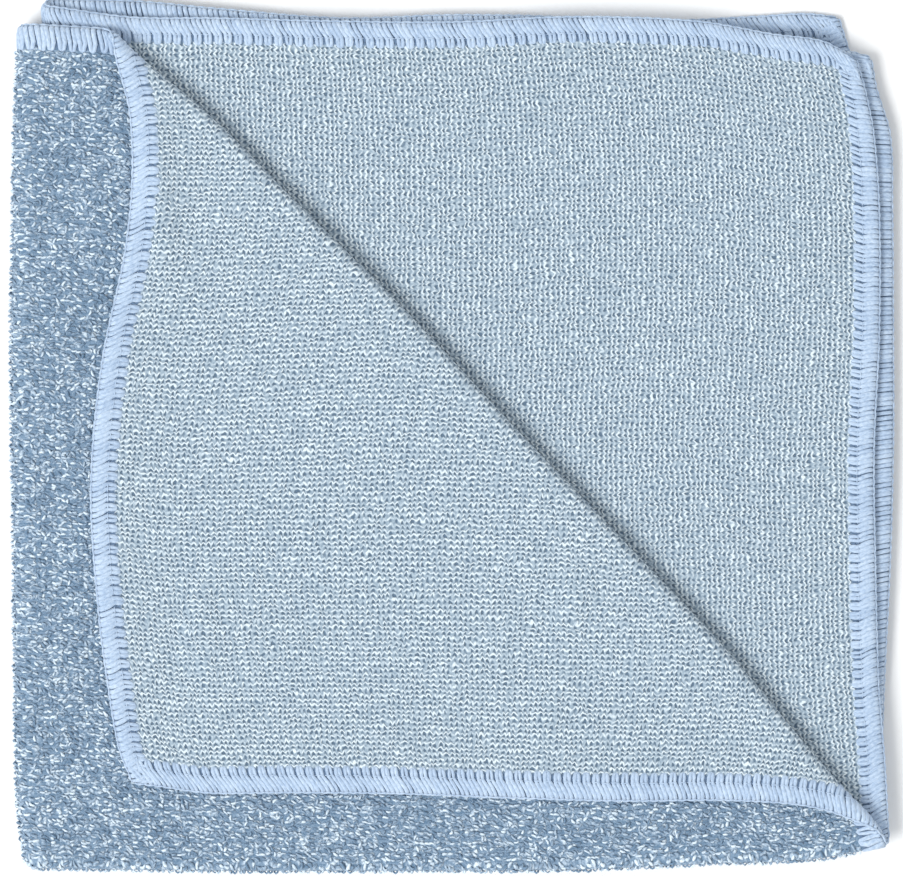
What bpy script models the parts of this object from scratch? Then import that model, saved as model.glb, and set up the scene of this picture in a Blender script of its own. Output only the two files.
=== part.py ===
"""Microfibre cloth: one hemmed square, folded in quarters, with the top layer's free corner turned back.

The flat cloth is measured from the point where its two folds cross: u runs across the left fold,
from the upper layers (-) to the lower ones (+), and v across the bottom fold, from the inner layers (-)
to the outer ones (+). So the four layers are top (-u, +v), second (-u, -v), third (+u, -v) and
bottom (+u, +v). The folded cloth lies on z = 0, centred on the origin, left fold at -X, bottom fold at -Y.
"""

import math
from collections import namedtuple

import bmesh
import bpy

MM = 0.001

# The cloth, in metres.
CLOTH_SIDE = 0.396
CLOTH_THICKNESS = 0.0016
HEM_THICKNESS = 0.0020
HEM_WIDTH = 0.0057
HEM_SLOPE = 0.0008

# How it is folded, in metres. Radii are those of the middle of the cloth.
FOLDED_SIDE = 0.200
LAYER_PITCH = 0.0025
TURN_RADIUS = 0.0015
CREASE_START = (-0.0753, 0.0871)
CREASE_END = (0.0980, -0.0925)
BOW_REACH = 0.060
FLAP_SETTLE = 0.0006
FLAP_SETTLE_REACH = 0.025
CREASE_REACH = 0.004

# How finely the faces follow it.
CELLS = 13
BEND_STEPS = 6
TURN_STEPS = 6

BLUE = (0.43, 0.54, 0.65, 1.0)
ROUGHNESS = 0.9

HALF_CLOTH = CLOTH_SIDE / 2
HALF_FOLDED = FOLDED_SIDE / 2
BOTTOM_RADIUS = LAYER_PITCH / 2
BOTTOM_BEND = BOTTOM_RADIUS * math.pi / 2
LEFT_BEND = 1.5 * LAYER_PITCH * math.pi / 2
BOTTOM_HEIGHT = CLOTH_THICKNESS / 2
MIDDLE_HEIGHT = BOTTOM_HEIGHT + 1.5 * LAYER_PITCH
HEM_LIFT = (HEM_THICKNESS - CLOTH_THICKNESS) / 2

# Each row stands at a share of the side, and says in millimetres how far each layer's edge stands
# out of the nominal square there (minus is inside it).
Hem = namedtuple("Hem", "at top second third bottom")
Fold = namedtuple("Fold", "at outer inner")
Bow = namedtuple("Bow", "at out")

# From the left fold to the right hem. The top layer's are those it has before its corner turns back.
TOP_HEM = (
    Hem(at=0.00, top=-5.8, second=-1.5, third=0.3, bottom=-5.8),
    Hem(at=0.10, top=-7.2, second=-4.0, third=-0.1, bottom=-5.8),
    Hem(at=0.20, top=-11.1, second=-4.2, third=-1.8, bottom=-5.5),
    Hem(at=0.35, top=-11.2, second=-4.9, third=-4.0, bottom=-5.0),
    Hem(at=0.50, top=-7.3, second=-5.1, third=-3.3, bottom=-5.0),
    Hem(at=0.65, top=-6.0, second=-3.9, third=-4.0, bottom=-4.8),
    Hem(at=0.80, top=-8.8, second=-4.9, third=-6.0, bottom=-4.4),
    Hem(at=0.90, top=-12.0, second=-8.0, third=-9.5, bottom=-3.5),
    Hem(at=0.96, top=-14.5, second=-9.6, third=-11.0, bottom=-2.9),
    Hem(at=1.00, top=-17.7, second=-13.6, third=-12.9, bottom=-3.7),
)

# From the bottom fold to the top hem.
RIGHT_HEM = (
    Hem(at=0.00, top=-0.3, second=0.3, third=-1.3, bottom=-2.0),
    Hem(at=0.10, top=-5.4, second=-0.7, third=-1.1, bottom=-2.0),
    Hem(at=0.20, top=-6.1, second=-2.1, third=-0.5, bottom=-2.0),
    Hem(at=0.35, top=-5.0, second=-2.8, third=0.8, bottom=-2.0),
    Hem(at=0.50, top=-5.2, second=-3.1, third=1.5, bottom=-2.0),
    Hem(at=0.65, top=-5.3, second=-1.9, third=1.5, bottom=-2.0),
    Hem(at=0.80, top=-4.6, second=-1.9, third=1.3, bottom=-3.0),
    Hem(at=0.90, top=-3.9, second=-3.1, third=0.8, bottom=-5.0),
    Hem(at=0.96, top=-4.9, second=-5.1, third=-2.3, bottom=-8.5),
    Hem(at=1.00, top=-5.5, second=-7.1, third=-3.6, bottom=-10.8),
)

# From the bottom fold to the top hem.
LEFT_FOLD = (
    Fold(at=0.00, outer=-1.3, inner=-5.0),
    Fold(at=0.08, outer=0.3, inner=-5.0),
    Fold(at=0.35, outer=1.0, inner=-5.2),
    Fold(at=0.62, outer=1.6, inner=-5.2),
    Fold(at=0.85, outer=1.0, inner=-5.4),
    Fold(at=1.00, outer=0.0, inner=-5.6),
)

# From the left fold to the right hem: outer is the fold of the upper pair, inner that of the lower pair.
BOTTOM_FOLD = (
    Fold(at=0.00, outer=-0.3, inner=-1.2),
    Fold(at=0.20, outer=0.2, inner=-0.8),
    Fold(at=0.50, outer=0.2, inner=-0.8),
    Fold(at=0.65, outer=-0.1, inner=-1.1),
    Fold(at=0.80, outer=-1.4, inner=-2.4),
    Fold(at=0.90, outer=-2.2, inner=-3.2),
    Fold(at=1.00, outer=-5.5, inner=-6.5),
)

# How far the turned-back edge bows out of the straight line between its ends.
CREASE_BOW = (
    Bow(at=0.00, out=0.0),
    Bow(at=0.10, out=2.5),
    Bow(at=0.20, out=2.9),
    Bow(at=0.35, out=3.7),
    Bow(at=0.50, out=3.1),
    Bow(at=0.65, out=3.0),
    Bow(at=0.78, out=2.6),
    Bow(at=0.90, out=0.5),
    Bow(at=1.00, out=-0.6),
)

# Soft humps (+) and hollows (-) over the folded cloth. Each lies at (x, y) along its heading in degrees,
# and all but the height are in millimetres.
Hump = namedtuple("Hump", "x y length width heading height")

# Folds of the turned-back flap itself, with the height in millimetres.
FLAP_CREASES = (
    Hump(x=-67, y=52, length=34, width=6, heading=93, height=1.3),
    Hump(x=-57, y=58, length=26, width=5, heading=80, height=-0.5),
    Hump(x=-64, y=-46, length=26, width=4, heading=88, height=-0.4),
    Hump(x=-57, y=-48, length=24, width=5, heading=97, height=0.8),
    Hump(x=27, y=-40, length=16, width=5, heading=66, height=0.9),
    Hump(x=22, y=-65, length=10, width=5, heading=72, height=0.8),
    Hump(x=52, y=-48, length=9, width=5, heading=70, height=0.5),
)

# Where the layers lie more loosely on each other, with the height as a share of their own.
LOOSE_PLACES = (
    Hump(x=82, y=74, length=60, width=34, heading=-40, height=0.12),
    Hump(x=86, y=-58, length=34, width=10, heading=50, height=0.14),
    Hump(x=-4, y=76, length=34, width=16, heading=20, height=0.07),
    Hump(x=-84, y=-15, length=130, width=30, heading=90, height=0.10),
    Hump(x=25, y=-86, length=90, width=24, heading=0, height=0.08),
    Hump(x=10, y=5, length=120, width=90, heading=-45, height=0.05),
)


def mix(low, high, share):
    return low + (high - low) * share


def smooth(share):
    """A soft step from 0 to 1."""
    share = min(max(share, 0.0), 1.0)
    return share * share * (3 - 2 * share)


def read(rows, column, at):
    """One column of a table, in metres, on a smooth curve through its rows."""
    at = min(max(at, rows[0].at), rows[-1].at)
    after = next(index for index in range(1, len(rows)) if at <= rows[index].at)
    near = [rows[max(after - 2, 0)], rows[after - 1], rows[after], rows[min(after + 1, len(rows) - 1)]]
    ats = [row.at for row in near]
    values = [getattr(row, column) for row in near]
    step = ats[2] - ats[1]
    slope_in = (values[2] - values[0]) / (ats[2] - ats[0]) * step
    slope_out = (values[3] - values[1]) / (ats[3] - ats[1]) * step
    t = (at - ats[1]) / step
    bend = smooth(t)
    value = mix(values[1], values[2], bend) + slope_in * t * (1 - t) ** 2 - slope_out * t * t * (1 - t)
    return value * MM


def hem_out(rows, at, upper, outer):
    """How far a hem stands out, between the four layers' columns."""
    low = mix(read(rows, "third", at), read(rows, "bottom", at), outer)
    high = mix(read(rows, "second", at), read(rows, "top", at), outer)
    return mix(low, high, upper)


def crease_frame():
    """The crease line's length, its direction, and the direction that points beyond it."""
    run = (CREASE_END[0] - CREASE_START[0], CREASE_END[1] - CREASE_START[1])
    length = math.hypot(*run)
    along = (run[0] / length, run[1] / length)
    return length, along, (-along[1], along[0])


def humps(rows, x, y):
    """The sum of a table's humps over (x, y)."""
    total = 0.0
    for row in rows:
        turn = math.radians(row.heading)
        dx = x / MM - row.x
        dy = y / MM - row.y
        along = (dx * math.cos(turn) + dy * math.sin(turn)) / (row.length / 2)
        across = (dy * math.cos(turn) - dx * math.sin(turn)) / (row.width / 2)
        total += row.height * math.exp(-along * along - across * across)
    return total


def turned_back(x, y):
    """The shift in (x, y, z) that rolls a point of the top layer over the crease and lays it down."""
    length, along, beyond = crease_frame()
    dx = x - CREASE_START[0]
    dy = y - CREASE_START[1]
    share = (dx * along[0] + dy * along[1]) / length
    past = dx * beyond[0] + dy * beyond[1]
    angle = min(max(past / TURN_RADIUS, 0.0), math.pi)
    flat = max(past - math.pi * TURN_RADIUS, 0.0)
    bow = read(CREASE_BOW, "out", share) * (1 - smooth(max(-past, flat) / BOW_REACH))
    shift = bow
    rise = 0.0
    if past > 0:
        shift += TURN_RADIUS * math.sin(angle) - flat - past
        rise = TURN_RADIUS * (1 - math.cos(angle)) - FLAP_SETTLE * smooth(flat / FLAP_SETTLE_REACH)
    shift_x = shift * beyond[0]
    shift_y = shift * beyond[1]
    if flat > 0:
        rise += humps(FLAP_CREASES, x + shift_x, y + shift_y) * MM * smooth(flat / CREASE_REACH)
    return shift_x, shift_y, rise


def quarter_folded(u, v):
    """Where a point of the flat cloth lies after the two folds, and how far it is on the top layer (0 to 1)."""
    round_left = min(max(u / LEFT_BEND, -1.0), 1.0) * math.pi / 2
    round_bottom = min(max(v / BOTTOM_BEND, -1.0), 1.0) * math.pi / 2
    upper = (1 - math.sin(round_left)) / 2
    outer = (1 + math.sin(round_bottom)) / 2
    across = max(abs(u) - LEFT_BEND, 0.0) / (HALF_CLOTH - LEFT_BEND)
    up = max(abs(v) - BOTTOM_BEND, 0.0) / (HALF_CLOTH - BOTTOM_BEND)

    left_radius = LAYER_PITCH * (0.5 + outer)
    left_out = mix(read(LEFT_FOLD, "inner", up), read(LEFT_FOLD, "outer", up), outer)
    left_centre = -HALF_FOLDED - left_out + CLOTH_THICKNESS / 2 + left_radius
    right = HALF_FOLDED + hem_out(RIGHT_HEM, up, upper, outer)
    x = mix(left_centre, right, across) - left_radius * math.cos(round_left)

    bottom_out = mix(read(BOTTOM_FOLD, "inner", across), read(BOTTOM_FOLD, "outer", across), upper)
    bottom_centre = -HALF_FOLDED - bottom_out + CLOTH_THICKNESS / 2 + BOTTOM_RADIUS
    top = HALF_FOLDED + hem_out(TOP_HEM, across, upper, outer)
    y = mix(bottom_centre, top, up) - BOTTOM_RADIUS * math.cos(round_bottom)

    z = MIDDLE_HEIGHT - left_radius * math.sin(round_left)
    return x, y, z, upper * outer


def hem_share(u, v):
    """How far a point is on the thick hem: 0 on the plain cloth, 1 on the hem, even on the slope between."""
    from_edge = HALF_CLOTH - max(abs(u), abs(v))
    return min(max((HEM_WIDTH - from_edge) / HEM_SLOPE, 0.0), 1.0)


def folded(u, v):
    """Where a point of the flat cloth lies once the cloth is folded and its corner turned back."""
    x, y, z, on_top = quarter_folded(u, v)
    shift_x, shift_y, rise = turned_back(x, y)
    x += shift_x * on_top
    y += shift_y * on_top
    z += rise * on_top
    loft = humps(LOOSE_PLACES, x, y) * (z - BOTTOM_HEIGHT)
    return x, y, z + loft + HEM_LIFT * hem_share(u, v)


def grid_lines(bend):
    """The flat cloth's grid lines along one axis: its hems, even cells, and fine strips round the fold."""
    hem_line = HALF_CLOTH - HEM_WIDTH
    half = [bend + (hem_line - bend) * cell / CELLS for cell in range(CELLS + 1)]
    half += [hem_line + HEM_SLOPE, HALF_CLOTH]
    strips = [bend * (2 * step / BEND_STEPS - 1) for step in range(1, BEND_STEPS)]
    return [-line for line in reversed(half)] + strips + half


def flat_cloth():
    """The cloth as a flat grid, each vertex at (u, v, 0)."""
    columns = grid_lines(LEFT_BEND)
    rows = grid_lines(BOTTOM_BEND)
    bm = bmesh.new()
    bmesh.ops.create_grid(bm, x_segments=len(columns) - 1, y_segments=len(rows) - 1, size=1.0)
    for vert in bm.verts:
        column = round((vert.co.x + 1) / 2 * (len(columns) - 1))
        row = round((vert.co.y + 1) / 2 * (len(rows) - 1))
        vert.co = (columns[column], rows[row], 0.0)
    return bm


def score_turn(bm, flat_u, flat_v):
    """Cuts the top layer along the lines where its corner rolls over, in the plane it lies in before that."""
    _, along, beyond = crease_frame()
    top = [
        face
        for face in bm.faces
        if all(v[flat_u] < -LEFT_BEND * 0.99 and v[flat_v] > BOTTOM_BEND * 0.99 for v in face.verts)
    ]
    for face in top:
        for vert in face.verts:
            x, y, _, _ = quarter_folded(vert[flat_u], vert[flat_v])
            vert.co = (x, y, 0.0)
    for step in range(TURN_STEPS + 1):
        past = TURN_RADIUS * math.pi * step / TURN_STEPS
        line = (CREASE_START[0] + past * beyond[0], CREASE_START[1] + past * beyond[1], 0.0)
        edges = {edge for face in top for edge in face.edges}
        verts = {vert for face in top for vert in face.verts}
        cut = bmesh.ops.bisect_plane(
            bm,
            geom=[*top, *edges, *verts],
            dist=MM / 100,
            plane_co=line,
            plane_no=(beyond[0], beyond[1], 0.0),
        )
        top = [item for item in cut["geom"] if isinstance(item, bmesh.types.BMFace)]


def make_cloth(collection, material):
    bm = flat_cloth()
    flat_u = bm.verts.layers.float.new("u")
    flat_v = bm.verts.layers.float.new("v")
    for vert in bm.verts:
        vert[flat_u] = vert.co.x
        vert[flat_v] = vert.co.y
    score_turn(bm, flat_u, flat_v)

    deform = bm.verts.layers.deform.new()
    for vert in bm.verts:
        u, v = vert[flat_u], vert[flat_v]
        vert.co = folded(u, v)
        vert[deform][0] = hem_share(u, v)

    mesh = bpy.data.meshes.new("cloth")
    bm.to_mesh(mesh)
    bm.free()
    mesh.materials.append(material)
    cloth = bpy.data.objects.new("cloth", mesh)
    collection.objects.link(cloth)
    cloth.vertex_groups.new(name="hem")

    shell = cloth.modifiers.new("thickness", "SOLIDIFY")
    shell.thickness = HEM_THICKNESS
    shell.offset = 0.0
    shell.vertex_group = "hem"
    shell.thickness_vertex_group = CLOTH_THICKNESS / HEM_THICKNESS
    return cloth


def make_material():
    material = bpy.data.materials.new("microfibre")
    material.use_nodes = True
    shader = material.node_tree.nodes["Principled BSDF"]
    shader.inputs["Base Color"].default_value = BLUE
    shader.inputs["Roughness"].default_value = ROUGHNESS
    shader.inputs["Metallic"].default_value = 0.0
    return material


def main():
    for item in list(bpy.data.objects):
        bpy.data.objects.remove(item, do_unlink=True)
    collection = bpy.data.collections.new("microfibre_cloth")
    bpy.context.scene.collection.children.link(collection)
    make_cloth(collection, make_material())


main()
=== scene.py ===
"""The looks of the microfibre cloth: a thin knitted sheet on the folds of its CAD solid, the loops that
stand on one side of it, and its overlocked edge.

The flat cloth is measured from the point where its two folds cross: u runs across the left fold,
from the upper layers (-) to the lower ones (+), and v across the bottom fold, from the inner layers (-)
to the outer ones (+). Its +Z side is the smooth knit, its -Z side the looped one. A stitch is placed by
its way s round the edge, its depth d in from the edge and its height h above the middle of the cloth.
"""

import math
from collections import namedtuple

import bmesh
import bpy
import numpy as np
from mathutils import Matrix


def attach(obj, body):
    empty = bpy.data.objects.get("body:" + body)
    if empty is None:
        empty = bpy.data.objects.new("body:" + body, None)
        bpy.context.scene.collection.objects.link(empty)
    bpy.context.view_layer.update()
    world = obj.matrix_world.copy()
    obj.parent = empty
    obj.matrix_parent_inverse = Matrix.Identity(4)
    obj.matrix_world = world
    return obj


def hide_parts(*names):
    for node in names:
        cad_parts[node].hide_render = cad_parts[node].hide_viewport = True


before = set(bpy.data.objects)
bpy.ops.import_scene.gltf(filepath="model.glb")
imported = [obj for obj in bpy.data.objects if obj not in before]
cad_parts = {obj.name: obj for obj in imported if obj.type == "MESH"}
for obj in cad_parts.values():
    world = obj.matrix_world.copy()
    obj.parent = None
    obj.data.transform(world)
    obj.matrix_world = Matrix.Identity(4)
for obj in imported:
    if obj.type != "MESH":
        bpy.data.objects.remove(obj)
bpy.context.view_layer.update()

MM = 0.001

# The cloth and its folds, in metres, as its solid has them.
CLOTH_SIDE = 0.396
CLOTH_THICKNESS = 0.0016
HEM_THICKNESS = 0.0020
HEM_WIDTH = 0.0057
HEM_SLOPE = 0.0008
FOLDED_SIDE = 0.200
LAYER_PITCH = 0.0025
TURN_RADIUS = 0.0015
CREASE_START = (-0.0753, 0.0871)
CREASE_END = (0.0980, -0.0925)
BOW_REACH = 0.060
FLAP_SETTLE = 0.0006
FLAP_SETTLE_REACH = 0.025
CREASE_REACH = 0.004

HALF_CLOTH = CLOTH_SIDE / 2
HALF_FOLDED = FOLDED_SIDE / 2
BOTTOM_RADIUS = LAYER_PITCH / 2
BOTTOM_BEND = BOTTOM_RADIUS * math.pi / 2
LEFT_BEND = 1.5 * LAYER_PITCH * math.pi / 2
BOTTOM_HEIGHT = CLOTH_THICKNESS / 2
MIDDLE_HEIGHT = BOTTOM_HEIGHT + 1.5 * LAYER_PITCH
HEM_LIFT = (HEM_THICKNESS - CLOTH_THICKNESS) / 2

# The sheet under the stitches is pressed thinner, and stops just inside them.
PRESSED_HALF = 0.00062
SHEET_INSET = 0.0001

# How finely the sheet is cut, in metres.
UPPER_CELL = 0.0018
LOWER_CELL = 0.0042
BEND_STEPS = 12
TURN_STEPS = 12
SLOPE_STEP = 0.00005

# Each row stands at a share of the side, and says in millimetres how far each layer's edge stands
# out of the nominal square there (minus is inside it).
Hem = namedtuple("Hem", "at top second third bottom")
Fold = namedtuple("Fold", "at outer inner")
Bow = namedtuple("Bow", "at out")

# From the left fold to the right hem. The top layer's are those it has before its corner turns back.
TOP_HEM = (
    Hem(at=0.00, top=-5.8, second=-1.5, third=0.3, bottom=-5.8),
    Hem(at=0.10, top=-7.2, second=-4.0, third=-0.1, bottom=-5.8),
    Hem(at=0.20, top=-11.1, second=-4.2, third=-1.8, bottom=-5.5),
    Hem(at=0.35, top=-11.2, second=-4.9, third=-4.0, bottom=-5.0),
    Hem(at=0.50, top=-7.3, second=-5.1, third=-3.3, bottom=-5.0),
    Hem(at=0.65, top=-6.0, second=-3.9, third=-4.0, bottom=-4.8),
    Hem(at=0.80, top=-8.8, second=-4.9, third=-6.0, bottom=-4.4),
    Hem(at=0.90, top=-12.0, second=-8.0, third=-9.5, bottom=-3.5),
    Hem(at=0.96, top=-14.5, second=-9.6, third=-11.0, bottom=-2.9),
    Hem(at=1.00, top=-17.7, second=-13.6, third=-12.9, bottom=-3.7),
)

# From the bottom fold to the top hem.
RIGHT_HEM = (
    Hem(at=0.00, top=-0.3, second=0.3, third=-1.3, bottom=-2.0),
    Hem(at=0.10, top=-5.4, second=-0.7, third=-1.1, bottom=-2.0),
    Hem(at=0.20, top=-6.1, second=-2.1, third=-0.5, bottom=-2.0),
    Hem(at=0.35, top=-5.0, second=-2.8, third=0.8, bottom=-2.0),
    Hem(at=0.50, top=-5.2, second=-3.1, third=1.5, bottom=-2.0),
    Hem(at=0.65, top=-5.3, second=-1.9, third=1.5, bottom=-2.0),
    Hem(at=0.80, top=-4.6, second=-1.9, third=1.3, bottom=-3.0),
    Hem(at=0.90, top=-3.9, second=-3.1, third=0.8, bottom=-5.0),
    Hem(at=0.96, top=-4.9, second=-5.1, third=-2.3, bottom=-8.5),
    Hem(at=1.00, top=-5.5, second=-7.1, third=-3.6, bottom=-10.8),
)

# From the bottom fold to the top hem.
LEFT_FOLD = (
    Fold(at=0.00, outer=-1.3, inner=-5.0),
    Fold(at=0.08, outer=0.3, inner=-5.0),
    Fold(at=0.35, outer=1.0, inner=-5.2),
    Fold(at=0.62, outer=1.6, inner=-5.2),
    Fold(at=0.85, outer=1.0, inner=-5.4),
    Fold(at=1.00, outer=0.0, inner=-5.6),
)

# From the left fold to the right hem: outer is the fold of the upper pair, inner that of the lower pair.
BOTTOM_FOLD = (
    Fold(at=0.00, outer=-0.3, inner=-1.2),
    Fold(at=0.20, outer=0.2, inner=-0.8),
    Fold(at=0.50, outer=0.2, inner=-0.8),
    Fold(at=0.65, outer=-0.1, inner=-1.1),
    Fold(at=0.80, outer=-1.4, inner=-2.4),
    Fold(at=0.90, outer=-2.2, inner=-3.2),
    Fold(at=1.00, outer=-5.5, inner=-6.5),
)

# How far the turned-back edge bows out of the straight line between its ends.
CREASE_BOW = (
    Bow(at=0.00, out=0.0),
    Bow(at=0.10, out=2.5),
    Bow(at=0.20, out=2.9),
    Bow(at=0.35, out=3.7),
    Bow(at=0.50, out=3.1),
    Bow(at=0.65, out=3.0),
    Bow(at=0.78, out=2.6),
    Bow(at=0.90, out=0.5),
    Bow(at=1.00, out=-0.6),
)

# Soft humps (+) and hollows (-) over the folded cloth. Each lies at (x, y) along its heading in degrees,
# and all but the height are in millimetres.
Hump = namedtuple("Hump", "x y length width heading height")

# Folds of the turned-back flap itself, with the height in millimetres.
FLAP_CREASES = (
    Hump(x=-67, y=52, length=34, width=6, heading=93, height=1.3),
    Hump(x=-57, y=58, length=26, width=5, heading=80, height=-0.5),
    Hump(x=-64, y=-46, length=26, width=4, heading=88, height=-0.4),
    Hump(x=-57, y=-48, length=24, width=5, heading=97, height=0.8),
    Hump(x=27, y=-40, length=16, width=5, heading=66, height=0.9),
    Hump(x=22, y=-65, length=10, width=5, heading=72, height=0.8),
    Hump(x=52, y=-48, length=9, width=5, heading=70, height=0.5),
)

# Where the layers lie more loosely on each other, with the height as a share of their own.
LOOSE_PLACES = (
    Hump(x=82, y=74, length=60, width=34, heading=-40, height=0.12),
    Hump(x=86, y=-58, length=34, width=10, heading=50, height=0.14),
    Hump(x=-4, y=76, length=34, width=16, heading=20, height=0.07),
    Hump(x=-84, y=-15, length=130, width=30, heading=90, height=0.10),
    Hump(x=25, y=-86, length=90, width=24, heading=0, height=0.08),
    Hump(x=10, y=5, length=120, width=90, heading=-45, height=0.05),
)

# A tube's UV map runs this far along it, in metres, for each 1, and starts on a new whole number for each
# tube. Its fibres are this many for each 1.
TUBE_UV_LENGTH = 0.020
FIBRES_ALONG = 24.0

# The overlock stitch, in metres: how far apart the stitches are, how far in from the edge the needle row
# lies, and the depth within which a thread bends round the edge.
STITCH = 0.0024
NEEDLE_ROW = 0.0036
EDGE_ROUND = 0.0009

# How much one stitch differs from the next: its place along the edge in stitches, and the rest as shares.
STITCH_STRAY = 0.035
DEPTH_STRAY = 0.025
HEIGHT_STRAY = 0.05
GIRTH_STRAY = 0.07

# One stitch of the looper thread on the smooth side, from the edge in past the needle row and back out:
# s in stitches, and the depth, height, half width and half thickness in millimetres.
Knot = namedtuple("Knot", "s d h wide thick")
SMOOTH_STITCH = (
    Knot(s=0.97, d=0.02, h=0.10, wide=0.62, thick=0.28),
    Knot(s=0.96, d=0.32, h=0.66, wide=0.62, thick=0.30),
    Knot(s=0.84, d=1.10, h=0.84, wide=0.64, thick=0.32),
    Knot(s=0.59, d=2.20, h=0.86, wide=0.66, thick=0.32),
    Knot(s=0.30, d=3.20, h=0.78, wide=0.58, thick=0.30),
    Knot(s=0.21, d=3.70, h=0.70, wide=0.50, thick=0.28),
    Knot(s=0.21, d=4.60, h=0.72, wide=0.58, thick=0.30),
    Knot(s=0.16, d=5.35, h=0.64, wide=0.52, thick=0.28),
    Knot(s=0.00, d=5.68, h=0.58, wide=0.40, thick=0.26),
    Knot(s=-0.16, d=5.35, h=0.64, wide=0.52, thick=0.28),
    Knot(s=-0.21, d=4.60, h=0.72, wide=0.58, thick=0.30),
    Knot(s=-0.21, d=3.70, h=0.70, wide=0.50, thick=0.28),
    Knot(s=-0.17, d=3.20, h=0.78, wide=0.58, thick=0.30),
    Knot(s=0.09, d=2.20, h=0.86, wide=0.66, thick=0.32),
    Knot(s=0.31, d=1.10, h=0.84, wide=0.64, thick=0.32),
    Knot(s=0.41, d=0.32, h=0.66, wide=0.62, thick=0.30),
    Knot(s=0.41, d=0.02, h=0.10, wide=0.62, thick=0.28),
)

# The same of the looper thread on the looped side, where the strands are long and slanted.
LOOPED_STITCH = (
    Knot(s=-0.59, d=0.02, h=-0.10, wide=0.62, thick=0.28),
    Knot(s=-0.58, d=0.35, h=-0.66, wide=0.62, thick=0.30),
    Knot(s=-0.44, d=1.80, h=-0.84, wide=0.64, thick=0.32),
    Knot(s=-0.26, d=3.60, h=-0.80, wide=0.60, thick=0.30),
    Knot(s=-0.16, d=5.00, h=-0.70, wide=0.48, thick=0.28),
    Knot(s=0.00, d=5.60, h=-0.62, wide=0.34, thick=0.24),
    Knot(s=0.16, d=5.00, h=-0.70, wide=0.48, thick=0.28),
    Knot(s=0.24, d=3.60, h=-0.80, wide=0.60, thick=0.30),
    Knot(s=0.08, d=1.80, h=-0.84, wide=0.64, thick=0.32),
    Knot(s=-0.03, d=0.35, h=-0.66, wide=0.62, thick=0.30),
    Knot(s=-0.03, d=0.02, h=-0.10, wide=0.62, thick=0.28),
)

# One stitch of the rope where the two loopers lock over the edge.
EDGE_STITCH = (
    Knot(s=-0.31, d=-0.18, h=0.22, wide=0.22, thick=0.24),
    Knot(s=-0.06, d=-0.30, h=0.12, wide=0.26, thick=0.28),
    Knot(s=0.19, d=-0.34, h=0.02, wide=0.26, thick=0.28),
    Knot(s=0.44, d=-0.28, h=0.14, wide=0.24, thick=0.26),
    Knot(s=0.69, d=-0.18, h=0.22, wide=0.22, thick=0.24),
)

# One stitch of a needle thread: it comes up through its hole, lies over the loopers and goes down again.
NEEDLE_STITCH = (
    Knot(s=-0.45, d=0.0, h=0.35, wide=0.12, thick=0.12),
    Knot(s=-0.34, d=0.0, h=0.84, wide=0.15, thick=0.12),
    Knot(s=0.00, d=0.0, h=0.93, wide=0.17, thick=0.13),
    Knot(s=0.34, d=0.0, h=0.84, wide=0.15, thick=0.12),
    Knot(s=0.45, d=0.0, h=0.35, wide=0.12, thick=0.12),
)

# One loop of the pile, standing off the looped side, in millimetres: the way along it and to one side of it,
# its height above the middle of the cloth and its half width.
Arch = namedtuple("Arch", "along aside h wide")
PILE_LOOP = (
    Arch(along=-0.60, aside=0.00, h=0.55, wide=0.20),
    Arch(along=-0.42, aside=0.10, h=1.00, wide=0.26),
    Arch(along=0.00, aside=0.18, h=1.24, wide=0.28),
    Arch(along=0.42, aside=0.10, h=1.00, wide=0.26),
    Arch(along=0.60, aside=0.00, h=0.55, wide=0.20),
)
PILE_FLATNESS = 0.85

# How much one loop of the pile differs from the next: the ranges of its length, lean, height and girth as
# shares of the table's, the spread of its heading in radians, and its strays in wales and in courses.
PILE_LENGTHS = (0.8, 1.25)
PILE_LEANS = (0.2, 1.6)
PILE_HEIGHTS = (0.85, 1.15)
PILE_GIRTHS = (0.8, 1.25)
PILE_HEADING = 0.55
PILE_STRAY_WALES = 0.3
PILE_STRAY_COURSES = 0.12

# How far, in metres, the loops go on under the turned-back corner and round from the middle of a fold.
PILE_TUCK = 0.003
PILE_FOLD_REACH = 0.0035

# The pile is two meshes: the first has the loops past these places in the flat cloth.
PILE_SPLIT_U = -0.040
PILE_SPLIT_V = 0.020

# The knit, in metres: the width of a loop (a wale) and its height (a course), and the sizes for each metre
# at which its grid strays and its fibres show.
WALE = 0.00119
COURSE = 0.00127
KNIT_STRAY_SCALE = 330.0
KNIT_FIBRE_SCALE = 1900.0
LOOPED_STRAY_SCALE = 420.0
LOOPED_FIBRE_SCALE = 2600.0

# Finishes, as linear colours.
# The smooth knit's colours run with its height: the darkest is painted shade in its holes and grooves, the
# lightest partly painted highlight on its legs.
KNIT_CREVICE_SHADE = (0.100, 0.160, 0.235, 1)
KNIT_MIDDLE = (0.300, 0.390, 0.470, 1)
KNIT_LIGHT = (0.700, 0.800, 0.860, 1)
# On the looped face the darkest is painted shade between the loops and the lightest partly painted highlight
# on their tops; on the pile's loops these colours are each loop's own random tone.
LOOP_DARK = (0.130, 0.220, 0.330, 1)
LOOP_MIDDLE = (0.340, 0.450, 0.570, 1)
LOOP_LIGHT = (0.740, 0.850, 0.930, 1)
THREAD_DARK = (0.300, 0.410, 0.570, 1)
THREAD_MIDDLE = (0.430, 0.545, 0.700, 1)
THREAD_LIGHT = (0.560, 0.670, 0.800, 1)
# Painted shade for the cloth under the stitches, so the slits between the strands look dark.
SHADE_UNDER_STITCHES = (0.130, 0.200, 0.310, 1)
FLOOR_DARK = (0.891, 0.891, 0.88605, 1)
FLOOR_LIGHT = (0.900, 0.900, 0.895, 1)
FABRIC_ROUGHNESS = 0.85
FLOOR_ROUGHNESS = 0.9
SHEEN_ROUGHNESS = 0.5
SPECULAR_LEVEL = 0.25

# The camera looks straight down. Its picture is this wide at this height over the floor.
PICTURE_WIDTH = 0.2077
PICTURE_CENTRE = (-0.0001, -0.0006)
PICTURE_HEIGHT = 0.008
LENS = 250.0
SENSOR = 36.0

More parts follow.
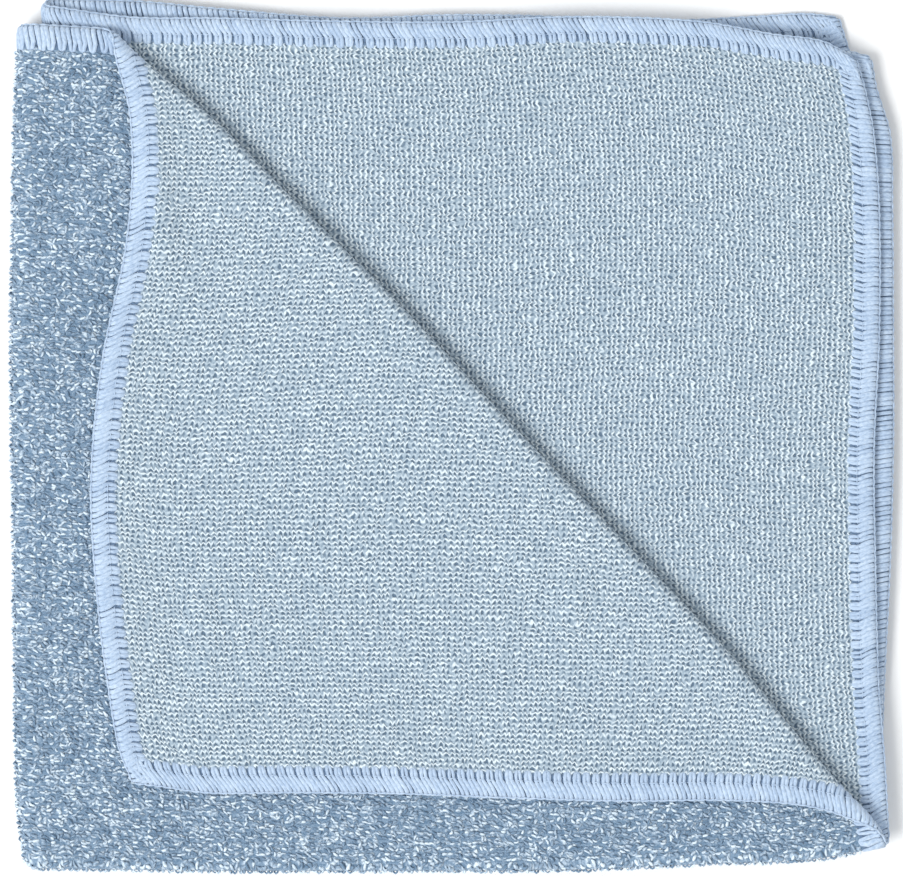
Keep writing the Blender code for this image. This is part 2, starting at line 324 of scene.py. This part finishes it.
# The studio: a wide floor just under the cloth, a soft light from the lower left and an even pale sky.
FLOOR_REACH = 8.0
FLOOR_GAP = 0.0001
SOFTBOX_PLACE = (-1.6, -0.9, 2.6)
SOFTBOX_SIZE = 1.6
SOFTBOX_POWER = 75.0
SKY_COLOUR = (0.97, 0.985, 1.0, 1)
SKY_STRENGTH = 0.80


def mix(low, high, share):
    return low + (high - low) * share


def smooth(share):
    """A soft step from 0 to 1."""
    share = np.clip(share, 0.0, 1.0)
    return share * share * (3 - 2 * share)


def read(rows, column, at):
    """One column of a table, in metres, on a smooth curve through its rows."""
    ats = np.array([row.at for row in rows])
    values = np.array([getattr(row, column) for row in rows]) * MM
    at = np.clip(at, ats[0], ats[-1])
    after = np.clip(np.searchsorted(ats, at), 1, len(ats) - 1)
    before = after - 1
    low = np.maximum(after - 2, 0)
    high = np.minimum(after + 1, len(ats) - 1)
    step = ats[after] - ats[before]
    slope_in = (values[after] - values[low]) / (ats[after] - ats[low]) * step
    slope_out = (values[high] - values[before]) / (ats[high] - ats[before]) * step
    t = (at - ats[before]) / step
    curve = mix(values[before], values[after], smooth(t))
    return curve + slope_in * t * (1 - t) ** 2 - slope_out * t * t * (1 - t)


def hem_out(rows, at, upper, outer):
    """How far a hem stands out, between the four layers' columns."""
    low = mix(read(rows, "third", at), read(rows, "bottom", at), outer)
    high = mix(read(rows, "second", at), read(rows, "top", at), outer)
    return mix(low, high, upper)


def crease_frame():
    """The crease line's length, its direction, and the direction that points beyond it."""
    run = np.subtract(CREASE_END, CREASE_START)
    length = float(np.hypot(*run))
    along = run / length
    return length, along, np.array((-along[1], along[0]))


def humps(rows, x, y):
    """The sum of a table's humps over (x, y)."""
    total = np.zeros_like(x)
    for row in rows:
        turn = math.radians(row.heading)
        dx = x / MM - row.x
        dy = y / MM - row.y
        along = (dx * math.cos(turn) + dy * math.sin(turn)) / (row.length / 2)
        across = (dy * math.cos(turn) - dx * math.sin(turn)) / (row.width / 2)
        total += row.height * np.exp(-along * along - across * across)
    return total


def beyond_crease(x, y):
    """Where a point lies along the crease line, as a share of it, and how far beyond it."""
    length, along, beyond = crease_frame()
    dx = x - CREASE_START[0]
    dy = y - CREASE_START[1]
    return (dx * along[0] + dy * along[1]) / length, dx * beyond[0] + dy * beyond[1]


def turned_back(x, y):
    """The shift in (x, y, z) that rolls a point of the top layer over the crease and lays it down."""
    _, _, beyond = crease_frame()
    share, past = beyond_crease(x, y)
    angle = np.clip(past / TURN_RADIUS, 0.0, math.pi)
    flat = np.maximum(past - math.pi * TURN_RADIUS, 0.0)
    rolled = past > 0
    shift = read(CREASE_BOW, "out", share) * (1 - smooth(np.maximum(-past, flat) / BOW_REACH))
    shift += np.where(rolled, TURN_RADIUS * np.sin(angle) - flat - past, 0.0)
    settled = FLAP_SETTLE * smooth(flat / FLAP_SETTLE_REACH)
    rise = np.where(rolled, TURN_RADIUS * (1 - np.cos(angle)) - settled, 0.0)
    shift_x = shift * beyond[0]
    shift_y = shift * beyond[1]
    rise += humps(FLAP_CREASES, x + shift_x, y + shift_y) * MM * smooth(flat / CREASE_REACH)
    return shift_x, shift_y, rise


def quarter_folded(u, v):
    """Where a point of the flat cloth lies after the two folds, and its share (0 to 1) of the top layer."""
    round_left = np.clip(u / LEFT_BEND, -1.0, 1.0) * math.pi / 2
    round_bottom = np.clip(v / BOTTOM_BEND, -1.0, 1.0) * math.pi / 2
    upper = (1 - np.sin(round_left)) / 2
    outer = (1 + np.sin(round_bottom)) / 2
    across = np.maximum(np.abs(u) - LEFT_BEND, 0.0) / (HALF_CLOTH - LEFT_BEND)
    up = np.maximum(np.abs(v) - BOTTOM_BEND, 0.0) / (HALF_CLOTH - BOTTOM_BEND)

    left_radius = LAYER_PITCH * (0.5 + outer)
    left_out = mix(read(LEFT_FOLD, "inner", up), read(LEFT_FOLD, "outer", up), outer)
    left_centre = -HALF_FOLDED - left_out + CLOTH_THICKNESS / 2 + left_radius
    right = HALF_FOLDED + hem_out(RIGHT_HEM, up, upper, outer)
    x = mix(left_centre, right, across) - left_radius * np.cos(round_left)

    bottom_out = mix(read(BOTTOM_FOLD, "inner", across), read(BOTTOM_FOLD, "outer", across), upper)
    bottom_centre = -HALF_FOLDED - bottom_out + CLOTH_THICKNESS / 2 + BOTTOM_RADIUS
    top = HALF_FOLDED + hem_out(TOP_HEM, across, upper, outer)
    y = mix(bottom_centre, top, up) - BOTTOM_RADIUS * np.cos(round_bottom)

    z = MIDDLE_HEIGHT - left_radius * np.sin(round_left)
    return x, y, z, upper * outer


def hem_share(u, v):
    """How far a point is on the thick hem: 0 on the plain cloth, 1 on the hem, even on the slope between."""
    from_edge = HALF_CLOTH - np.maximum(np.abs(u), np.abs(v))
    return np.clip((HEM_WIDTH - from_edge) / HEM_SLOPE, 0.0, 1.0)


def folded(u, v):
    """Where points of the flat cloth lie once the cloth is folded and its corner turned back."""
    x, y, z, on_top = quarter_folded(u, v)
    shift_x, shift_y, rise = turned_back(x, y)
    x = x + shift_x * on_top
    y = y + shift_y * on_top
    z = z + rise * on_top
    loft = humps(LOOSE_PLACES, x, y) * (z - BOTTOM_HEIGHT)
    return np.stack((x, y, z + loft + HEM_LIFT * hem_share(u, v)), axis=-1)


def raised(u, v, height):
    """Points that stand off the folded cloth's middle, along its normal. None goes under the floor."""
    across = folded(u + SLOPE_STEP, v) - folded(u - SLOPE_STEP, v)
    up = folded(u, v + SLOPE_STEP) - folded(u, v - SLOPE_STEP)
    normal = np.cross(across, up)
    normal /= np.linalg.norm(normal, axis=-1, keepdims=True)
    points = folded(u, v) + normal * height[..., None]
    points[..., 2] = np.maximum(points[..., 2], 0.0)
    return points


def half_lines(bend, cell):
    """Grid lines from one side of a fold to the edge: even cells, and the hem's own lines."""
    hem_line = HALF_CLOTH - HEM_WIDTH
    cells = round((hem_line - bend) / cell)
    plain = [mix(bend, hem_line, step / cells) for step in range(cells + 1)]
    hem_cells = max(round(HEM_WIDTH / cell), 2)
    in_hem = mix(hem_line + HEM_SLOPE, HALF_CLOTH - SHEET_INSET, np.arange(hem_cells + 1) / hem_cells)
    return plain + list(in_hem)


def grid_lines(bend, cell_before, cell_after):
    """The flat cloth's grid lines along one axis, with fine strips round the fold."""
    before = [-line for line in reversed(half_lines(bend, cell_before))]
    strips = [bend * (2 * step / BEND_STEPS - 1) for step in range(1, BEND_STEPS)]
    return before + strips + half_lines(bend, cell_after)


def scored_sheet():
    """The flat cloth as one layer of faces, cut along the lines where its corner rolls over."""
    columns = grid_lines(LEFT_BEND, UPPER_CELL, LOWER_CELL)
    rows = grid_lines(BOTTOM_BEND, UPPER_CELL, UPPER_CELL)
    bm = bmesh.new()
    bmesh.ops.create_grid(bm, x_segments=len(columns) - 1, y_segments=len(rows) - 1, size=1.0)
    flat_u = bm.verts.layers.float.new("u")
    flat_v = bm.verts.layers.float.new("v")
    for vert in bm.verts:
        column = round((vert.co.x + 1) / 2 * (len(columns) - 1))
        row = round((vert.co.y + 1) / 2 * (len(rows) - 1))
        vert[flat_u] = columns[column]
        vert[flat_v] = rows[row]
    flat = np.array([(vert[flat_u], vert[flat_v]) for vert in bm.verts])
    x, y, _, _ = quarter_folded(flat[:, 0], flat[:, 1])
    for vert, place_x, place_y in zip(bm.verts, x, y):
        vert.co = (place_x, place_y, 0.0)

    _, _, beyond = crease_frame()
    top = [
        face
        for face in bm.faces
        if all(v[flat_u] < -LEFT_BEND * 0.99 and v[flat_v] > BOTTOM_BEND * 0.99 for v in face.verts)
    ]
    for step in range(TURN_STEPS + 1):
        past = TURN_RADIUS * math.pi * step / TURN_STEPS
        line = (CREASE_START[0] + past * beyond[0], CREASE_START[1] + past * beyond[1], 0.0)
        edges = {edge for face in top for edge in face.edges}
        verts = {vert for face in top for vert in face.verts}
        cut = bmesh.ops.bisect_plane(
            bm,
            geom=[*top, *edges, *verts],
            dist=MM / 100,
            plane_co=line,
            plane_no=(beyond[0], beyond[1], 0.0),
        )
        top = [item for item in cut["geom"] if isinstance(item, bmesh.types.BMFace)]

    bm.verts.index_update()
    flat = np.array([(vert[flat_u], vert[flat_v]) for vert in bm.verts])
    faces = [[vert.index for vert in face.verts] for face in bm.faces]
    rim = []
    for edge in bm.edges:
        if edge.is_boundary:
            loop = edge.link_loops[0]
            rim.append((loop.vert.index, loop.link_loop_next.vert.index))
    bm.free()
    return flat, faces, rim


def mesh_object(name, points, faces, materials, slots=None, uv=None):
    """A smooth-shaded object from vertices and faces. Its UV map "flat" has one place for each vertex."""
    mesh = bpy.data.meshes.new(name)
    mesh.from_pydata(points.tolist(), [], faces)
    mesh.polygons.foreach_set("use_smooth", [True] * len(mesh.polygons))
    if slots is not None:
        mesh.polygons.foreach_set("material_index", slots)
    if uv is not None:
        layer = mesh.uv_layers.new(name="flat")
        corner = np.empty(len(mesh.loops), np.int32)
        mesh.loops.foreach_get("vertex_index", corner)
        layer.uv.foreach_set("vector", uv[corner].astype(np.float32).ravel())
    for material in materials:
        mesh.materials.append(material)
    mesh.update()
    item = bpy.data.objects.new(name, mesh)
    bpy.context.scene.collection.objects.link(item)
    return item


def make_sheet(knit, looped):
    """The cloth itself: the smooth knit's face, the looped face and the cut edge between them."""
    flat, faces, rim = scored_sheet()
    u, v = flat[:, 0], flat[:, 1]
    half = mix(CLOTH_THICKNESS / 2, PRESSED_HALF, hem_share(u, v))
    points = np.concatenate((raised(u, v, half), raised(u, v, -half)))
    count = len(flat)
    back = [[index + count for index in reversed(face)] for face in faces]
    edge = [(second, first, first + count, second + count) for first, second in rim]
    uv = np.concatenate((flat, flat)) / CLOTH_SIDE + 0.5
    slots = [0] * len(faces) + [1] * (len(back) + len(edge))
    return mesh_object("knitted_sheet", points, faces + back + edge, (knit, looped), slots, uv)


def spline(knots, steps):
    """A smooth curve through knots along axis -2, with this many steps between each two."""
    ends = np.concatenate((knots[..., :1, :], knots, knots[..., -1:, :]), axis=-2)
    t = (np.arange(steps) / steps)[:, None]
    before, first, second, after = (
        ends[..., index : ends.shape[-2] - 3 + index, None, :] for index in range(4)
    )
    curve = 0.5 * (
        2 * first
        + (second - before) * t
        + (2 * before - 5 * first + 4 * second - after) * t**2
        + (3 * first - before - 3 * second + after) * t**3
    )
    curve = curve.reshape(*curve.shape[:-3], -1, curve.shape[-1])
    return np.concatenate((curve, knots[..., -1:, :]), axis=-2)


def round_the_edge(s, d):
    """The flat cloth's (u, v) for places (s, d): s runs anticlockwise from the corner at (-u, -v)."""
    side = np.floor(s / CLOTH_SIDE).astype(int) % 4
    along = s % CLOTH_SIDE - HALF_CLOTH
    inward = d - HALF_CLOTH
    u = np.choose(side, (along, -inward, -along, inward))
    v = np.choose(side, (inward, along, -inward, -along))
    return u, v


def tubes(name, path, wide, thick, outward, place, material, sides=6):
    """One mesh of many closed tubes. Their oval rings are laid out flat, and place() folds them."""
    tangent = np.gradient(path, axis=1)
    tangent /= np.linalg.norm(tangent, axis=-1, keepdims=True)
    across = np.cross(tangent, outward)
    across /= np.linalg.norm(across, axis=-1, keepdims=True)
    outward = np.cross(across, tangent)
    turn = (np.arange(sides) * 2 * math.pi / sides - math.pi / 2)[:, None]
    wide = (across * wide)[:, :, None] * np.cos(turn)
    thick = (outward * thick)[:, :, None] * np.sin(turn)
    points = place(path[:, :, None] + wide + thick)

    count, rings = path.shape[:2]
    vertex = np.arange(count * rings * sides).reshape(count, rings, sides)
    after = np.roll(vertex, -1, axis=2)
    walls = np.stack((vertex[:, :-1], after[:, :-1], after[:, 1:], vertex[:, 1:]), axis=-1)
    faces = walls.reshape(-1, 4).tolist()
    faces += vertex[:, 0, ::-1].tolist() + vertex[:, -1].tolist()

    step = np.linalg.norm(np.diff(path, axis=1, prepend=path[:, :1]), axis=-1)
    uv = np.empty((count, rings, sides, 2))
    uv[..., 0] = np.cumsum(step, axis=1)[..., None] / TUBE_UV_LENGTH + np.arange(count)[:, None, None]
    uv[..., 1] = np.arange(sides) / sides
    return mesh_object(name, points.reshape(-1, 3), faces, (material,), uv=uv.reshape(-1, 2))


def stitched(name, table, material, rng, steps=1, sides=6, depth=0.0, uneven=1.0):
    """One mesh of all the stitches of one thread, each a soft flattened tube on the table's curve."""
    per_side = round(CLOTH_SIDE / STITCH)
    count = 4 * per_side
    knots = np.array([(row.s * STITCH / MM, row.d, row.h, row.wide, row.thick) for row in table]) * MM
    knots[:, 1] += depth
    stitches = np.repeat(knots[None], count, axis=0)
    stitches[..., 0] += rng.normal(0, STITCH_STRAY * uneven, (count, 1)) * STITCH
    stitches[..., 1] *= 1 + rng.normal(0, DEPTH_STRAY * uneven, (count, 1))
    stitches[..., 2] *= 1 + rng.normal(0, HEIGHT_STRAY * uneven, (count, 1))
    stitches[..., 3:] *= 1 + rng.normal(0, GIRTH_STRAY * uneven, (count, 1, 1))
    curve = spline(stitches, steps)
    path = curve[..., :3]
    outward = np.zeros_like(path)
    outward[..., 1] = np.minimum(path[..., 1] - EDGE_ROUND, 0.0)
    outward[..., 2] = path[..., 2]

    starts = ((np.arange(per_side) + 0.5) * CLOTH_SIDE / per_side)[None, :, None, None]
    sides_start = (np.arange(4) * CLOTH_SIDE)[:, None, None, None]

    def place(rings):
        s = rings[..., 0].reshape(4, per_side, *rings.shape[1:3])
        s = np.clip(s + starts, 0, CLOTH_SIDE * 0.99999) + sides_start
        u, v = round_the_edge(s.reshape(rings.shape[:3]), rings[..., 1])
        return raised(u, v, rings[..., 2])

    return tubes(name, path, curve[..., 3:4], curve[..., 4:5], outward, place, material, sides)


def looped_side_shows(u, v):
    """Whether the looped side of the cloth can be seen here.

    It shows on the top layer, up to its hems and a little way under its turned-back corner, and on the
    outer side of the folds.
    """
    inside = np.maximum(np.abs(u), np.abs(v)) < HALF_CLOTH - HEM_WIDTH
    x, y, _, _ = quarter_folded(u, v)
    _, past = beyond_crease(x, y)
    _, _, beyond = crease_frame()
    reflect = math.pi * TURN_RADIUS - 2 * past
    over_x = x + reflect * beyond[0]
    over_y = y + reflect * beyond[1]
    right = HALF_FOLDED + read(RIGHT_HEM, "top", over_y / FOLDED_SIDE + 0.5)
    top = HALF_FOLDED + read(TOP_HEM, "top", over_x / FOLDED_SIDE + 0.5)
    covered = (over_x < right - PILE_TUCK) & (over_y < top - PILE_TUCK)
    on_top = (u < LEFT_BEND) & (v > -BOTTOM_BEND) & (past < 0) & ~covered
    fold = (np.abs(v) < PILE_FOLD_REACH) | (np.abs(u) < LEFT_BEND + PILE_FOLD_REACH) & (v > 0)
    return inside & (on_top | fold)


def past_the_split(u, v):
    """Whether a loop belongs to the first of the two pile meshes."""
    return (u > PILE_SPLIT_U) & (v > PILE_SPLIT_V)


def piled(name, material, rng, part):
    """One mesh of the loops that stand on one part of the looped side, one in each stitch of the knit."""
    columns = np.arange(-HALF_CLOTH, HALF_CLOTH, WALE)
    rows = np.arange(-HALF_CLOTH, HALF_CLOTH, COURSE)
    u, v = (grid.ravel() for grid in np.meshgrid(columns, rows))
    u = u + rng.uniform(-PILE_STRAY_WALES, PILE_STRAY_WALES, len(u)) * WALE
    v = v + rng.normal(0, PILE_STRAY_COURSES, len(v)) * COURSE
    shown = looped_side_shows(u, v) & part(u, v)
    u, v = u[shown], v[shown]
    count = len(u)

    table = np.array(PILE_LOOP) * MM
    along = table[:, 0] * rng.uniform(*PILE_LENGTHS, (count, 1))
    aside = table[:, 1] * rng.choice((-1.0, 1.0), (count, 1)) * rng.uniform(*PILE_LEANS, (count, 1))
    heading = rng.normal(0, PILE_HEADING, (count, 1))
    path = np.empty((count, len(PILE_LOOP), 3))
    path[..., 0] = u[:, None] + along * np.cos(heading) - aside * np.sin(heading)
    path[..., 1] = v[:, None] + along * np.sin(heading) + aside * np.cos(heading)
    path[..., 2] = -table[:, 2] * rng.uniform(*PILE_HEIGHTS, (count, 1))
    wide = (table[:, 3] * rng.uniform(*PILE_GIRTHS, (count, 1)))[..., None]
    outward = np.zeros_like(path)
    outward[..., 2] = -1

    def place(rings):
        return raised(rings[..., 0], rings[..., 1], rings[..., 2])

    return tubes(name, path, wide, wide * PILE_FLATNESS, outward, place, material, sides=4)


class Graph:
    """Adds nodes to a new material. A value is a number, a tuple or another node's output socket."""

    def __init__(self, name):
        self.material = bpy.data.materials.new(name)
        self.material.use_nodes = True
        self.nodes = self.material.node_tree.nodes
        self.links = self.material.node_tree.links
        self.shader = self.nodes["Principled BSDF"]

    def put(self, socket, value):
        if isinstance(value, bpy.types.NodeSocket):
            self.links.new(value, socket)
        else:
            socket.default_value = value

    def node(self, kind, values=None, **settings):
        node = self.nodes.new(kind)
        for name, setting in settings.items():
            setattr(node, name, setting)
        for name, value in (values or {}).items():
            self.put(node.inputs[name], value)
        return node

    def math(self, operation, *values):
        return self.node("ShaderNodeMath", dict(enumerate(values)), operation=operation).outputs[0]

    def step(self, value, low, high, to_low=0.0, to_high=1.0):
        """A soft step of a value between two limits."""
        node = self.node("ShaderNodeMapRange", interpolation_type="SMOOTHSTEP")
        for index, item in enumerate((value, low, high, to_low, to_high)):
            self.put(node.inputs[index], item)
        return node.outputs[0]

    def flat_place(self):
        """The flat cloth's u and v in metres."""
        place = self.node("ShaderNodeUVMap", uv_map="flat").outputs[0]
        place = self.node("ShaderNodeSeparateXYZ", {0: place})
        halves = [self.math("SUBTRACT", place.outputs[axis], 0.5) for axis in (0, 1)]
        return [self.math("MULTIPLY", half, CLOTH_SIDE) for half in halves]

    def vector(self, x, y, z=0.0):
        return self.node("ShaderNodeCombineXYZ", {0: x, 1: y, 2: z}).outputs[0]

    def noise(self, place, scale, detail=2.0, channel="Fac"):
        values = {"Vector": place, "Scale": scale, "Detail": detail}
        return self.node("ShaderNodeTexNoise", values).outputs[channel]

    def random(self, x, y):
        """A number from 0 to 1 for each whole (x, y)."""
        cell = self.vector(self.math("FLOOR", x), self.math("FLOOR", y))
        return self.node("ShaderNodeTexWhiteNoise", {"Vector": cell}).outputs["Value"]

    def colours(self, value, *stops):
        """A colour ramp from (place, colour) stops."""
        node = self.node("ShaderNodeValToRGB", {0: value})
        ramp = node.color_ramp
        while len(ramp.elements) < len(stops):
            ramp.elements.new(0.5)
        for element, (place, colour) in zip(ramp.elements, stops):
            element.position = place
            element.color = colour
        return node.outputs[0]

    def blend(self, share, low, high):
        node = self.node("ShaderNodeMix", data_type="RGBA")
        self.put(node.inputs[0], share)
        self.put(node.inputs[6], low)
        self.put(node.inputs[7], high)
        return node.outputs[2]

    def finish(self, colour, height, distance, roughness=FABRIC_ROUGHNESS, sheen=0.2):
        bump = self.node("ShaderNodeBump", {"Height": height, "Distance": distance, "Strength": 1.0})
        self.put(self.shader.inputs["Base Color"], colour)
        self.put(self.shader.inputs["Normal"], bump.outputs[0])
        self.shader.inputs["Roughness"].default_value = roughness
        self.shader.inputs["Sheen Weight"].default_value = sheen
        self.shader.inputs["Sheen Roughness"].default_value = SHEEN_ROUGHNESS
        self.shader.inputs["Specular IOR Level"].default_value = SPECULAR_LEVEL
        return self.material


def shade_under_stitches(graph, u, v, colour):
    """The colour, with painted shade where the stitches cover the cloth, so the slits between the strands
    look dark.
    """
    reach = graph.math("MAXIMUM", graph.math("ABSOLUTE", u), graph.math("ABSOLUTE", v))
    hem_line = HALF_CLOTH - HEM_WIDTH
    covered = graph.step(reach, hem_line + 0.2 * MM, hem_line + 0.8 * MM)
    return graph.blend(covered, colour, SHADE_UNDER_STITCHES)


def wandering(graph, u, v, scale, amount):
    """A place in the knit, in loops, that strays a little from the straight grid."""
    place = graph.vector(u, v)
    stray = graph.node("ShaderNodeSeparateXYZ", {0: graph.noise(place, scale, channel="Color")})
    found = []
    for axis, (flat, pitch) in enumerate(((u, WALE), (v, COURSE))):
        offset = graph.math("MULTIPLY", graph.math("SUBTRACT", stray.outputs[axis], 0.5), amount)
        found.append(graph.math("ADD", graph.math("DIVIDE", flat, pitch), offset))
    return found


def make_knit():
    """The smooth side: columns of slanted loop legs with a hole between each four, the holes and the grooves
    in painted shade.
    """
    graph = Graph("smooth_knit")
    u, v = graph.flat_place()
    x, y = wandering(graph, u, v, KNIT_STRAY_SCALE, 1.7)
    from_middle = graph.math("ABSOLUTE", graph.math("SUBTRACT", graph.math("FRACT", y), 0.5))
    x = graph.math("ADD", x, graph.math("MULTIPLY", from_middle, 0.9))
    from_leg = graph.math("ABSOLUTE", graph.math("SUBTRACT", graph.math("FRACT", x), 0.5))
    leg = graph.step(from_leg, 0.05, 0.36, 1.0, 0.0)
    across = graph.math("POWER", graph.math("SUBTRACT", 0.5, from_leg), 2.0)
    along = graph.math("POWER", from_middle, 2.0)
    from_hole = graph.math("SQRT", graph.math("ADD", across, along))
    hole = graph.step(from_hole, 0.10, 0.36, 1.0, 0.0)
    legs = graph.random(x, graph.math("MULTIPLY", y, 2.0))
    holes = graph.random(graph.math("ADD", x, 0.5), y)
    fibre = graph.noise(graph.vector(u, v), KNIT_FIBRE_SCALE)

    # The colour follows the height: the holes and the grooves between the legs are painted shade, and the
    # tops of the legs partly painted highlight; each leg's and hole's random tone is its own.
    value = graph.math("MULTIPLY", leg, graph.math("ADD", 0.10, graph.math("MULTIPLY", legs, 0.60)))
    value = graph.math("ADD", value, 0.44)
    depth = graph.math("ADD", 0.30, graph.math("MULTIPLY", holes, 0.45))
    value = graph.math("SUBTRACT", value, graph.math("MULTIPLY", hole, depth))
    value = graph.math("ADD", value, graph.math("MULTIPLY", graph.math("SUBTRACT", fibre, 0.5), 0.7))
    colour = graph.colours(value, (0.0, KNIT_CREVICE_SHADE), (0.45, KNIT_MIDDLE), (0.95, KNIT_LIGHT))
    # Painted shade where the stitches cover the cloth.
    colour = shade_under_stitches(graph, u, v, colour)
    return graph.finish(colour, value, 0.30 * MM)


def make_looped():
    """The cleaning side: short uneven loops in rows, with painted shade on the ground between them and along
    the rows.
    """
    graph = Graph("looped_knit")
    u, v = graph.flat_place()
    x, y = wandering(graph, u, v, LOOPED_STRAY_SCALE, 2.0)
    cells = graph.node(
        "ShaderNodeTexVoronoi",
        {"Vector": graph.vector(x, y), "Scale": 1.0, "Randomness": 0.75},
        feature="F1",
    )
    blob = graph.step(cells.outputs["Distance"], 0.15, 0.62, 1.0, 0.0)
    each = graph.node("ShaderNodeSeparateXYZ", {0: cells.outputs["Color"]}).outputs[0]
    row = graph.math("ABSOLUTE", graph.math("SUBTRACT", graph.math("FRACT", y), 0.5))
    row = graph.step(row, 0.30, 0.5)
    fibre = graph.noise(graph.vector(u, v), LOOPED_FIBRE_SCALE)

    # The colour follows the height: each loop is lighter on its top and darker at its edge, and the ground
    # and the lines between the rows are painted shade; each loop's random tone is its own.
    value = graph.math("MULTIPLY", blob, graph.math("ADD", 0.35, graph.math("MULTIPLY", each, 0.65)))
    value = graph.math("ADD", value, 0.12)
    value = graph.math("SUBTRACT", value, graph.math("MULTIPLY", row, 0.16))
    value = graph.math("ADD", value, graph.math("MULTIPLY", graph.math("SUBTRACT", fibre, 0.5), 0.6))
    colour = graph.colours(value, (0.0, LOOP_DARK), (0.40, LOOP_MIDDLE), (0.95, LOOP_LIGHT))
    # Painted shade where the stitches cover the cloth.
    colour = shade_under_stitches(graph, u, v, colour)
    return graph.finish(colour, value, 0.5 * MM)


def make_fibres(name, shades, across, spread, bump, sheen):
    """Yarn with fine fibres along it, this many across it, and its own shade for each stitch or loop."""
    graph = Graph(name)
    place = graph.node("ShaderNodeUVMap", uv_map="flat").outputs[0]
    place = graph.node("ShaderNodeSeparateXYZ", {0: place})
    along, around = place.outputs[0], place.outputs[1]
    fine = graph.vector(graph.math("MULTIPLY", along, FIBRES_ALONG), graph.math("MULTIPLY", around, across))
    fibres = graph.noise(fine, 1.0, 3.0)
    each = graph.random(along, 0.0)
    value = graph.math("ADD", fibres, graph.math("MULTIPLY", graph.math("SUBTRACT", each, 0.5), spread))
    colour = graph.colours(value, *zip((0.25, 0.5, 0.75), shades))
    return graph.finish(colour, value, bump, sheen=sheen)


def make_floor():
    """A wide pale floor with a faint grain."""
    graph = Graph("pale_floor")
    place = graph.node("ShaderNodeTexCoord").outputs["Object"]
    grain = graph.noise(place, 40.0)
    colour = graph.colours(grain, (0.0, FLOOR_DARK), (1.0, FLOOR_LIGHT))
    graph.finish(colour, grain, 0.01 * MM, roughness=FLOOR_ROUGHNESS, sheen=0.0)
    mesh = bpy.data.meshes.new("floor")
    signs = ((-1, -1), (1, -1), (1, 1), (-1, 1))
    corners = [(x * FLOOR_REACH, y * FLOOR_REACH, 0.0) for x, y in signs]
    mesh.from_pydata(corners, [], [(0, 1, 2, 3)])
    mesh.materials.append(graph.material)
    floor = bpy.data.objects.new("floor", mesh)
    floor.location.z = -FLOOR_GAP
    bpy.context.scene.collection.objects.link(floor)


def make_lights():
    """A round softbox that faces the cloth, and the sky."""
    light = bpy.data.lights.new("softbox", "AREA")
    light.shape = "DISK"
    light.size = SOFTBOX_SIZE
    light.energy = SOFTBOX_POWER
    item = bpy.data.objects.new("softbox", light)
    item.location = SOFTBOX_PLACE
    item.rotation_euler = (-item.location).to_track_quat("-Z", "Y").to_euler()
    bpy.context.scene.collection.objects.link(item)

    world = bpy.data.worlds.new("studio")
    world.use_nodes = True
    background = world.node_tree.nodes["Background"]
    background.inputs["Color"].default_value = SKY_COLOUR
    background.inputs["Strength"].default_value = SKY_STRENGTH
    bpy.context.scene.world = world
    bpy.context.scene.view_settings.view_transform = "Standard"


def make_camera():
    """A long lens straight above the cloth."""
    camera = bpy.data.cameras.new("camera")
    camera.lens = LENS
    camera.sensor_width = SENSOR
    camera.clip_end = 100.0
    item = bpy.data.objects.new("camera", camera)
    item.location = (*PICTURE_CENTRE, PICTURE_HEIGHT + PICTURE_WIDTH * LENS / SENSOR)
    bpy.context.scene.collection.objects.link(item)
    bpy.context.scene.camera = item


make_floor()
make_lights()
make_camera()
thread = make_fibres(
    "overlock_thread",
    (THREAD_DARK, THREAD_MIDDLE, THREAD_LIGHT),
    across=9.0,
    spread=0.15,
    bump=0.10 * MM,
    sheen=0.3,
)
pile = make_fibres(
    "loop_pile",
    (LOOP_DARK, LOOP_MIDDLE, LOOP_LIGHT),
    across=4.0,
    spread=0.55,
    bump=0.08 * MM,
    sheen=0.2,
)
sheet = make_sheet(make_knit(), make_looped())
rng = np.random.default_rng(7)
threads = [
    stitched("looper_on_smooth_side", SMOOTH_STITCH, thread, rng),
    stitched("looper_on_looped_side", LOOPED_STITCH, thread, rng),
    stitched("edge_rope", EDGE_STITCH, thread, rng, steps=2, uneven=0.0),
    stitched("needle_row", NEEDLE_STITCH, thread, rng, steps=2, sides=5, depth=NEEDLE_ROW, uneven=0.5),
]
pile_parts = [
    piled("loops_by_left_fold", pile, rng, past_the_split),
    piled("loops_by_bottom_fold", pile, rng, lambda u, v: ~past_the_split(u, v)),
]

for piece in (sheet, *threads, *pile_parts):
    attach(piece, "root")
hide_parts("cloth")
